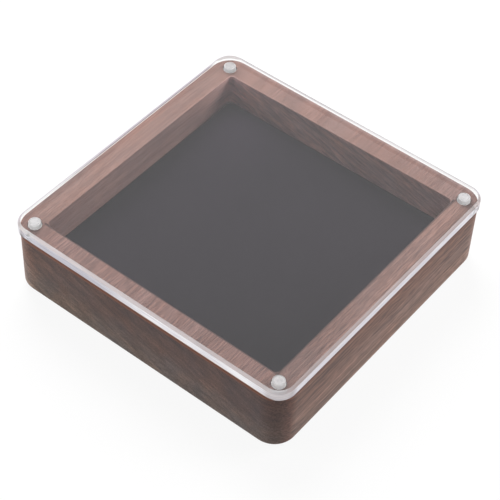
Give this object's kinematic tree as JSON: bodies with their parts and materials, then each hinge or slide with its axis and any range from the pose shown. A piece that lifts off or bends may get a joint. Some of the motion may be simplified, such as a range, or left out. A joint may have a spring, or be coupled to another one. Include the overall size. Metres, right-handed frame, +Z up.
{
  "type": "medal storage box",
  "caption": "Square walnut tray with a padded cavity and a clear acrylic lid held at the corners by disc magnets.",
  "frame": {"origin": "centre of the plane that the feet stand on", "axes": "+Z up through the lid; X along the grain of the wood, so the end grain shows on the faces towards -X and +X"},
  "size_m": [0.14, 0.14, 0.0365],
  "materials": {
    "walnut": "fine sanded and oiled walnut",
    "pad_cloth": "short black pile",
    "clear_acrylic": "polished clear acrylic",
    "magnet_plating": "bright nickel plating",
    "foot_rubber": "matt black rubber"
  },
  "bodies": {
    "tray": {"walnut_tray": "walnut", "floor_pad": "pad_cloth", "tray_magnet_front_left": "magnet_plating", "tray_magnet_front_right": "magnet_plating", "tray_magnet_back_right": "magnet_plating", "tray_magnet_back_left": "magnet_plating", "foot_front_left": "foot_rubber", "foot_front_right": "foot_rubber", "foot_back_right": "foot_rubber", "foot_back_left": "foot_rubber"},
    "lid": {"acrylic_lid": "clear_acrylic", "lid_magnet_front_left": "magnet_plating", "lid_magnet_front_right": "magnet_plating", "lid_magnet_back_right": "magnet_plating", "lid_magnet_back_left": "magnet_plating"}
  },
  "joints": [
    {"name": "lid_lift", "type": "slide", "parent": "tray", "child": "lid", "axis": [0, 0, 1], "range_m": [0, 0.08]}
  ]
}
